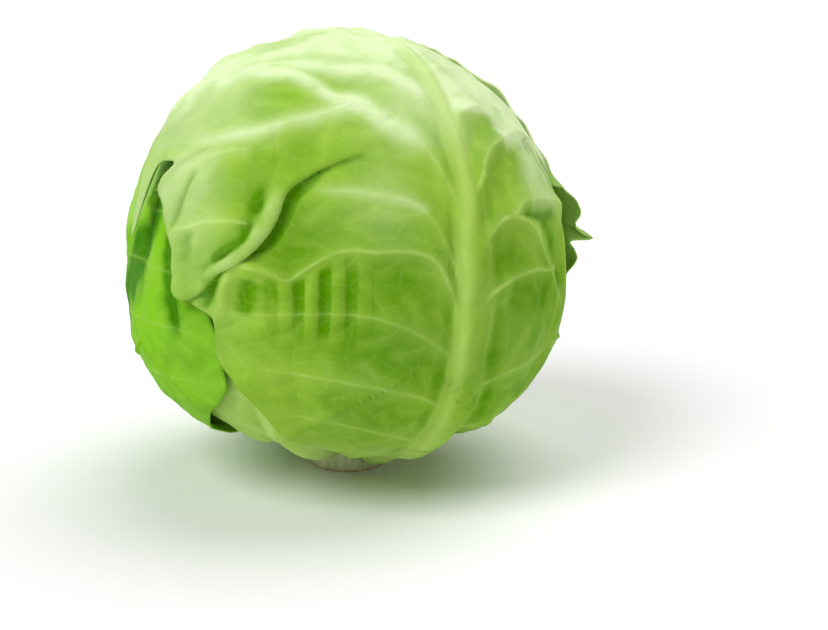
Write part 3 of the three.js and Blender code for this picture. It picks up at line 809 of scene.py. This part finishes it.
def make_leaf(name, node, order, columns, rows, finish, crowd_u=(), crowd_v=(), **own):
    """A flat grid of columns and rows is closed into a shell by its thickness, and both of its faces are
    then laid where the leaf's are."""
    bpy.ops.object.select_all(action="DESELECT")
    bpy.ops.mesh.primitive_grid_add(x_subdivisions=columns, y_subdivisions=rows, size=2, calc_uvs=True)
    piece = bpy.context.object
    piece.name = name
    mesh = piece.data
    grid = np.array([vertex.co[:] for vertex in mesh.vertices])
    rank = np.lexsort((grid[:, 0].round(5), grid[:, 1].round(5)))
    u = crowded(grid[rank, 0], -1, 1, crowd_u)
    v = crowded((grid[rank, 1] + 1) / 2, 0, 1, crowd_v)
    outer, inner, flat_places, finish_needs = shape_leaf(order, u, v, rows + 1, **own)

    solidify = piece.modifiers.new("thickness", "SOLIDIFY")
    solidify.thickness, solidify.offset = BLADE.thickness * MM, -1
    bpy.ops.object.modifier_apply(modifier=solidify.name)
    count = len(rank)

    def on_both(outer_values, inner_values):
        """Values in the order of the grid's rows, put in the order of the shell's points."""
        placed = np.empty((2 * count, *outer_values.shape[1:]))
        placed[rank], placed[count + rank] = outer_values, inner_values
        return placed

    mesh.vertices.foreach_set("co", (on_both(outer, inner) * MM).astype(np.float32).ravel())
    for title, values in finish_needs.items():
        attribute = mesh.attributes.new(title, "FLOAT", "POINT")
        attribute.data.foreach_set("value", on_both(values, values).astype(np.float32))
    corner = np.empty(len(mesh.loops), int)
    mesh.loops.foreach_get("vertex_index", corner)
    flat = on_both(flat_places, flat_places)[corner] / FLAT_UNIT
    mesh.uv_layers[0].name = "blade"
    mesh.uv_layers[0].data.foreach_set("uv", flat.astype(np.float32).ravel())
    mesh.update()
    bpy.ops.object.shade_smooth()
    piece.data.materials.append(finish)
    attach(piece, "root")
    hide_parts(node)


inner_finish = leaf_finish("inner_leaf", deep=(124, 176, 46), fresh=(166, 206, 88), pale=(206, 230, 144),
                           wax=(212, 232, 172))
make_leaf("wrapper_inner_back", "leaf_inner_back", INNER_BACK, 140, 110, inner_finish, seed=11)
make_leaf("wrapper_inner_front", "leaf_inner_front", INNER_FRONT, 140, 110, inner_finish, seed=12)
make_leaf("wrapper_inner_right", "leaf_inner_right", INNER_RIGHT, 140, 110, inner_finish, seed=13)

# ---- The left leaf -------------------------------------------------------------------------------
# It is drawn into folds that fan out from under the front leaf's notch, with painted shade in their
# hollows and beside the front leaf's margin. Like the others it is a thin blade that clasps the stalk with
# its midrib.
FAN = SimpleNamespace(start=(58, 58), count=14, middle=-95, spread=45, height=0.25, reach=95)
# Each fold's height, how wide it spreads, how much painted shade deepens its green (below 0, painted
# light), and its line; a fold of height 0 is only a band of painted shade. A line is given by places on the
# flat leaf, across it and along it from the head's middle, in mm.
LEFT_FOLDS = [
    (-1.8, 2.6, 1.2, [(62, 64), (54, 50), (48, 42), (45, 36), (45, 28), (43, 20), (38, 10)]),
    (1.3, 3.6, -0.4, [(60, 46), (56, 38), (54, 31), (53, 22), (46, 9), (36, -6)]),
    (-1.3, 6.5, 1.1, [(66, 42), (65, 31), (66, 18), (61, 6), (51, -8), (43, -24)]),
    (0, 6.5, 1.1, [(59, 26), (51, 9), (39, -5), (30, -19), (26, -32)]),
    (1.5, 4.6, -0.5, [(77, 38), (78, 24), (79, 9), (77, -5), (75, -24)]),
    (-2.6, 3.8, 1.6, [(78, 48), (82, 31), (84, 19), (87, 8), (92, -6), (95, -26)]),
    (-0.8, 5.0, 0.3, [(12, 30), (8, 8), (6, -8), (6, -24)]),
]


def left_folds(leaf, p, q, u, v):
    x, y = p - FAN.start[0], q - FAN.start[1]
    distance = np.hypot(x, y)
    angle = np.degrees(np.arctan2(y, x)) - FAN.middle
    angle = (angle + 180) % 360 - 180
    fan = smooth(distance / 18) * rise(distance, FAN.reach, -40) * bell(angle / FAN.spread)
    height, ripe = hand_folds(LEFT_FOLDS, p, q)
    height += FAN.height * fan * np.cos(np.radians(FAN.count * angle))
    # The upper part beside the front leaf is paler: painted highlight, laid on as the waxy colour.
    bloom = 0.5 * smooth((0.9 * q + 28 - p) / 10) * rise(q, -16, 20)
    return fold_of(height, calm=1 - 0.8 * fan, ripe=ripe, bloom=bloom)


left_finish = leaf_finish("left_leaf", deep=(60, 126, 0), fresh=(128, 193, 28), pale=(172, 216, 96),
                          wax=(178, 220, 118))
make_leaf("wrapper_left", "leaf_left", LEFT, 170, 200, left_finish, [(0.58, 0.2, 1.8)], [(0.6, 0.1, 1)],
          folds=left_folds, seed=14)

# ---- The front leaf ------------------------------------------------------------------------------
# The widest leaf, thin and waxy, held by a midrib that runs to the crown. Its left part is doubled over:
# the rolled edge of that flap stands clear of the blade beside it. Under a side vein the blade is drawn
# into short upright pleats.

# The crease on the flat leaf, from its upper end down.
FRONT_CREASE = [(-36, 61), (-51, 57), (-62, 52), (-70, 45), (-75, 35), (-80, 27), (-85, 21), (-95, 14),
                (-101, 9), (-106, 3), (-111, -1), (-124, -4)]
# Across the crease: a place's distance from it on the flat leaf, where the fold takes it, and how high.
CREASE_SECTION = [(-70, -70, 0), (-40, -40, 0.7), (-26, -26, 1.3), (-16, -16, 1.8), (-10, -10, 2.1),
                  (-6.5, -6.4, 2.2), (-4, -3.6, 2.6), (-2.2, -1.2, 3.1), (-1.1, 0.6, 3.3), (-0.3, 1.9, 3.2),
                  (0, 2.4, 2.9), (0.5, 2.1, 2.6), (1.2, 0.6, 2.1), (2, -0.6, 1.4), (2.8, -0.8, 0.5),
                  (3.6, 0.4, -0.4), (4.6, 2.3, -0.6), (6, 4.7, -0.4), (9, 9, 0), (40, 40, 0)]
# How far along the crease, and the share of that section.
CREASE_SIZE = [(0, 0), (0.02, 0.25), (0.18, 0.5), (0.27, 0.85), (0.4, 1), (0.6, 0.95), (0.75, 0.8),
               (1, 0.6)]
# In its lower part the edge is rolled, with a furrow behind the roll: how far each lies from the crease.
ROLL = SimpleNamespace(at=-1.9, height=1.2, spread=1.9)
FURROW = SimpleNamespace(at=-5.9, depth=1.5, spread=1.9)
CURL = SimpleNamespace(at=4.5, height=1.8, spread=3.6)  # the free margin's own roll, inside the margin
# The large side veins: the height of the ridge in which each lifts the blade, and its line.
FRONT_VEINS = [
    (0.6, [(-3, 92), (-10, 101), (-22, 109), (-40, 117), (-60, 122)]),
    (1.0, [(-4, 72), (-8, 82), (-17, 93), (-28, 98), (-40, 102), (-62, 112), (-84, 114)]),
    (1.6, [(-7, 46), (-11, 55), (-17, 63), (-24, 70), (-34, 82), (-43, 87), (-51, 97), (-65, 108)]),
    (1.0, [(-24, 70), (-34, 81), (-46, 79), (-65, 74), (-80, 72), (-98, 74)]),
    (0.6, [(-8, 22), (-13, 32), (-21, 39), (-41, 44), (-60, 46)]),
    (1.3, [(-7, 6), (-13, 16), (-23, 20), (-37, 20), (-48, 21), (-57, 18), (-66, 12), (-72, 8), (-77, 11),
           (-85, 13), (-91, 11), (-96, 4), (-98, -5)]),
    (1.5, [(-86, 32), (-98, 33), (-108, 32), (-118, 29), (-124, 24), (-124, 16), (-122, 8)]),
    (1.0, [(-84, 65), (-100, 64), (-114, 60)]),
    (1.9, [(6, 71), (11, 74), (18, 75.5), (25, 74), (31, 70), (38, 67), (48, 66)]),
    (2.4, [(5, 40), (9, 47), (11, 52), (16, 58), (23, 62), (31, 66), (41, 69), (52, 68), (62, 62)]),
    (2.4, [(4, 14), (8, 24), (14, 30), (22, 33), (29, 38), (50, 41), (78, 41), (98, 44)]),
    (2.0, [(8, 24), (14, 30), (21, 32), (31, 29), (40, 22), (49, 13), (58, 2), (64, -8)]),
    (2.0, [(4, -8), (9, 2), (17, 8), (32, 12), (49, 12), (62, 18)]),
]
JOINED_FROM = 12  # a vein that starts this close to the midrib's middle runs into it
# The lobe that hangs beside the notch: where it starts across the leaf, and at what share of its length.
LOBE = SimpleNamespace(length=52, from_p=120, width=34, opens=0.765)
# The pleats hang from the arched vein above them, a pitch apart, and ridge is the place of one of them.
PLEATS_VEIN = [(-6, 14), (-22, 20), (-37, 20), (-50, 20), (-68, 10), (-78, 11), (-92, 9)]
PLEATS = SimpleNamespace(ridge=-51.6, pitch=10.4, height=1.3, middle=(-60, 2), spread=(17, 15))
# Fuller places behind the crown: the height, and across and along the leaf the middle and the spread.
CROWN_SWELLS = [(3.2, 9, 15, 120, 18), (1.6, -58, 22, 132, 20)]
# Small folds, in the form of the left leaf's; their deeper green is painted shade, and below 0 painted
# light.
FRONT_FOLDS = [
    (-0.3, 6.5, 0.2, [(16, 54), (19, 62), (24, 69), (32, 74), (42, 77)]),
    (0, 5.0, 0.15, [(18, 56), (21, 64), (27, 71), (36, 75)]),
    (0, 4.5, 0.3, [(12, 58), (11, 50), (8, 40), (10, 28)]),
    (-0.8, 5.0, 0.25, [(13, 40), (18, 50), (27, 58), (36, 60)]),
    (-1.0, 7.0, 0.12, [(12, 30), (18, 24), (21, 10)]),
    (-1.2, 2.6, 0.7, [(25, 33), (42, 34), (60, 36)]),
    (-1.2, 4.5, 0.5, [(46, 34), (53, 26), (58, 14), (62, 0)]),
    (1.0, 2.4, -0.6, [(66, 42), (71, 30), (72, 14), (73, 0)]),
    (-0.5, 2.8, 0.45, [(44, 68), (52, 65), (59, 61), (65, 55), (70, 49), (73, 43)]),
    (-0.8, 7.0, 0.4, [(16, 3), (34, 4), (50, 0)]),
    (-0.9, 3.6, 0.2, [(-77, 66), (-79, 60), (-82, 46), (-85, 38)]),
    (-0.7, 2.1, 0.5, [(-108, 31), (-111, 26), (-111, 21), (-114, 14)]),
    (-0.9, 1.5, 0.6, [(-103, 62), (-108, 55), (-113, 47), (-116, 37), (-118, 27)]),
    (0, 3.2, 0.3, [(-84, 32), (-90, 28), (-95, 20), (-99, 13)]),
    (1.5, 1.7, -0.3, [(-70, 8), (-77, 11), (-84, 13.5), (-91, 11.5), (-96, 4), (-98, -5), (-101, -12)]),
    (-1.5, 3.6, 0.9, [(-85, 9), (-87, 0), (-89, -9)]),
    (-1.4, 1.8, 0.8, [(-99, 8), (-102, 1), (-105, -7)]),
    (1.2, 1.6, -0.2, [(-103, 7), (-106, 0), (-109, -7)]),
]
# Beside these veins the wax is thicker, in the same form.
FRONT_WAX = [
    (0.2, 3.4, 0.5, [(-12, 55), (-17, 63), (-24, 70), (-34, 82), (-43, 87), (-51, 97), (-65, 108),
                     (-78, 112)]),
    (0, 3.0, 0.35, [(-6, 80), (-8, 84), (-17, 93), (-28, 98), (-40, 102), (-62, 112)]),
    (0, 2.6, 0.35, [(-24, 78), (-34, 81), (-46, 79), (-65, 74), (-80, 72), (-98, 74)]),
    (0, 2.2, 0.3, [(-14, 34), (-21, 39), (-41, 44), (-60, 46)]),
]


def doubled_over(p, q):
    """The flap that is doubled over along the crease: its height, how far it leans over and the way of the
    crease there, how far its edge is rolled, and the recess in the blade beside it."""
    beside, share, way = from_line(rounded(FRONT_CREASE), p, q)
    section = rounded(CREASE_SECTION)
    size = np.interp(share, *np.transpose(CREASE_SIZE))
    flap = SimpleNamespace(beside=beside, size=size, way=way)
    flap.lean = smooth(size * 1.3) * (1 - 0.8 * rise(share, 0.6, 0.12))
    flap.lean *= 1 - 0.5 * spot(share, 0.24, 0.09)
    flap.lean *= np.interp(beside, section[:, 0], section[:, 1] - section[:, 0])
    # The roll is uneven. It narrows downwards and runs out before the crease does.
    uneven = 1 + 0.25 * np.sin(43 * share) + 0.15 * np.sin(73 * share)
    rolled = rise(share, 0.24, 0.11) * uneven
    runs_out = rise(share, 0.64, 0.12)
    flap.across_roll = beside / (1 - 0.4 * rise(share, 0.38, 0.16))
    roll = ROLL.height * spot(flap.across_roll, ROLL.at, ROLL.spread)
    roll -= FURROW.depth * spot(flap.across_roll, FURROW.at, FURROW.spread)
    flap.height = size * np.interp(beside, section[:, 0], section[:, 2])
    flap.height += size * rolled * (1 - 0.8 * runs_out) * roll
    flap.rolled = rolled * (1 - runs_out)
    recess_ends = 7 - 3 * rise(share, 0.44, 0.22) - 2 * rise(share, 0.18, -0.09)
    flap.recess = smooth(size * 1.4) * rise(beside, 0.5, 1.5) * rise(beside, recess_ends, -1.8)
    return flap


def front_green(p, q, flap):
    """Painted shade that deepens the green: low on both sides of the midrib, where less light falls, in the
    recess beside the flap's edge, and in the furrow behind its roll, whose crest is paled by painted light.
    """
    ripe = 0.34 * rise(p, 4, 20) * rise(q, 56, -50) + 0.55 * rise(q, 44, -30) * spot(p, -26, 36)
    ripe += 1.1 * flap.recess + 0.35 * flap.size * spot(flap.beside, 15, 11)
    on_roll = 0.9 * spot(flap.across_roll, -7.3, 3) - 0.4 * spot(flap.across_roll, -1.5, 2.5)
    return ripe + flap.rolled * on_roll


def front_bloom(p, q, flap):
    """Where the waxy colour is laid on thick: over the crown, on the upper right, down the left side and on
    the roll. It is partly a waxy film and partly a painted highlight where light falls strongest.
    """
    upper_right = rise(q, 71, 5 + 0.4 * np.maximum(p - 40, 0)) * rise(p, 2, 6)
    upper_right = np.maximum(upper_right, rise(p, 20, 9) * rise(q, 58, 9))
    upper_right = np.maximum(upper_right, 0.6 * rise(p, 33, 10) * rise(q, 43, 12))
    bloom = upper_right + 0.5 * spot(p, 50, 16) * spot(q, 42, 7)
    bloom += 0.6 * rise(q, 88, 40) + 0.45 * spot(p, -10, 22) * rise(q, 48, 34)
    bloom += 0.3 * spot(p, -84, 14) * rise(q, 60, 16) + 0.35 * rise(p, -86, -20) * rise(q, 8, 50)
    on_roll = flap.rolled * spot(flap.across_roll, -1.5, 2.5)
    return bloom + 0.2 * spot(p, -30, 12) * spot(q, 40, 16) + 0.2 * on_roll


def front_folds(leaf, p, q, u, v):
    flap = doubled_over(p, q)
    folded, fold_green = hand_folds(FRONT_FOLDS, p, q)
    beside_vein, wax = hand_folds(FRONT_WAX, p, q)
    below_vein, _, _ = from_line(rounded(PLEATS_VEIN), p, q)
    pleated = smooth(below_vein / 4)
    pleated *= spot(p, PLEATS.middle[0], PLEATS.spread[0]) * spot(q, PLEATS.middle[1], PLEATS.spread[1])
    ridges = 1 + np.cos(2 * pi * (p - PLEATS.ridge) / PLEATS.pitch)
    height = flap.height + pleated * PLEATS.height * ridges + folded + beside_vein
    for swell, middle_p, spread_p, middle_q, spread_q in CROWN_SWELLS:
        height += swell * spot(p, middle_p, spread_p) * spot(q, middle_q, spread_q)
    # The flap's free margin is curled under, into a thick soft roll.
    to_margin = (1 + u) * half_width(leaf, u, v)
    curled = (u < 0) * rise(q, -20, 30) * rise(q, 66, -8)
    height += curled * (CURL.height * spot(to_margin, CURL.at, CURL.spread) - 0.6 * spot(to_margin, 12, 4))
    loose = 1 - 0.9 * curled * bell(to_margin / 20)
    # Painted shade deepens the green in the flap's recess and furrow, in the small folds, and in the
    # valleys between the pleats.
    ripe = front_green(p, q, flap) + fold_green + 1.1 * pleated * smooth(1.6 - 1.1 * ridges)
    # The waxy colour is partly a painted highlight; it is kept thin where painted shade lies.
    bloom = front_bloom(p, q, flap) + 0.12 * curled * bell(to_margin / 14) + wax
    bloom *= (1 - 0.8 * np.clip(fold_green, 0, 1)) * (1 - 0.6 * rise(p, 78, 30))
    # Beside the notch the torn blade hangs down along the head's side as a narrow lobe.
    hang = LOBE.length * rise(p, -LOBE.from_p, -LOBE.width) * rise(v, LOBE.opens, 0.03)
    hang *= 1 - rise(v, LOBE.opens + 0.05, 0.1)
    return fold_of(height, -flap.way[:, 1] * flap.lean, flap.way[:, 0] * flap.lean - hang,
                   1 - 0.8 * flap.recess, loose, ripe, bloom)


def front_veins(leaf, rng):
    """The large side veins, and by rule the ones above and below them."""
    def taken(side, q):
        return -20 < q < (100 if side < 0 else 70)

    drawn = []
    for ridge, points in FRONT_VEINS:
        p, q = points[0]
        root = [(0.3 * p, q - 11)] if abs(p) < JOINED_FROM else []
        drawn.append((ridge, rounded(root + points)))
    return drawn + side_veins(leaf, rng, taken)


front_finish = leaf_finish("front_leaf", deep=(88, 146, 0), fresh=(152, 195, 60), pale=(200, 229, 122),
                           wax=(220, 240, 184))
make_leaf("wrapper_front", "leaf_front", FRONT, 190, 240, front_finish, [(-0.55, 0.2, 1.8)],
          [(0.55, 0.1, 1.8), (0.8, 0.02, 3)], folds=front_folds, seed=15, veins=front_veins, smoothness=0.6)

# ---- The back leaf -------------------------------------------------------------------------------
# The outermost leaf wraps the back, thin and waxy like the others and held by its own midrib. A frill of
# its margin stands out from the head's right side, with one long spike.
FRILL_DEPTH = 15  # from the margin inwards
# Its place along the leaf, and its height there.
FRILL_OUTLINE = [(-6, 0), (4, 1.5), (9, 3), (13.5, 3.8), (18.5, 2.8), (21.5, 1.4), (23, 3), (24, 8),
                 (25, 12.5), (26, 8), (27, 5.2), (29, 4.6), (31, 6.6), (33, 7), (38, 6), (45, 2.7),
                 (50, 1.2), (54, 0)]
SPIKE = SimpleNamespace(at=25, spread=1.6, droop=5)


def back_frill(leaf, p, q, u, v):
    to_margin = np.where(u < 0, (1 + u) * half_width(leaf, u, v), 1e3)
    height = np.interp(q, *np.transpose(FRILL_OUTLINE)) * smooth(1 - to_margin / FRILL_DEPTH) ** 1.4
    frilled = rise(q, -6, 5) * rise(q, 56, -5)
    # Elsewhere this margin lies close to the leaf under it.
    tucked = (1 - frilled) * smooth(1 - to_margin / 16) * rise(v, 0.3, 0.15)
    high = rise(q, 50, 20)
    lowered = (2 - 0.9 * high) * tucked + 1.1 * high * smooth(1 - to_margin / 50)
    # The waxy colour is laid thick along the upper margin and over the frill, partly as painted light on
    # faces that stand in shade; the frill's green is also lightened by painted light.
    bloom = rise(q, 56, 14) * bell(from_edge(leaf, u, v) / 16) + 0.45 * rise(q, 40, 60)
    bloom += 0.2 * frilled * smooth(1 - to_margin / 15)
    droop = SPIKE.droop * spot(q, SPIKE.at, SPIKE.spread) * smooth(1 - to_margin / 12) ** 2
    loose = 1 - 0.9 * (tucked + frilled) * (to_margin < 100)
    return fold_of(height - lowered, 0.0, -droop, 1 - 0.85 * tucked, loose, -0.2 * frilled, bloom)


back_finish = leaf_finish("back_leaf", deep=(76, 136, 4), fresh=(140, 190, 44), pale=(190, 220, 120),
                          wax=(228, 242, 196))
make_leaf("wrapper_back", "leaf_back", BACK, 180, 220, back_finish, [(-0.95, 0.1, 1)], [(0.74, 0.06, 2.5)],
          folds=back_frill, seed=16)


# ---- Floor and light -----------------------------------------------------------------------------
# The head stands on a plain white floor. The light is wide and soft: one from the upper left, one from
# above and behind, and a little from everywhere.
def soft_light(name, azimuth, height, width, strength):
    """A light far away, whose face looks width degrees wide from the head."""
    turned, risen = radians(azimuth), radians(height)
    back = Vector((sin(turned) * cos(risen), -cos(turned) * cos(risen), sin(risen)))
    bpy.ops.object.light_add(type="SUN", location=back)
    light = bpy.context.object
    light.name = name
    light.rotation_euler = back.to_track_quat("Z", "Y").to_euler()
    light.data.angle, light.data.energy = radians(width), strength


bpy.ops.object.select_all(action="DESELECT")
bpy.ops.mesh.primitive_plane_add(size=12)
floor = bpy.context.object
floor.name = "floor"
floor_material, _, floor_inputs, _ = new_finish("studio_floor")
dress(floor_inputs, Base_Color=(0.93, 0.93, 0.93, 1), Roughness=0.8)
floor.data.materials.append(floor_material)
floor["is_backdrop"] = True
soft_light("key", -52, 46, 36, 1.95)
soft_light("window", 140, 58, 60, 1.8)
world = bpy.data.worlds.new("studio")
world.use_nodes = True
world.node_tree.nodes["Background"].inputs[0].default_value = (1, 1, 1, 1)
world.node_tree.nodes["Background"].inputs[1].default_value = 0.28
bpy.context.scene.world = world
bpy.context.scene.view_settings.view_transform = "Standard"

boxes = {"cad": cad_box, "visual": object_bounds()}
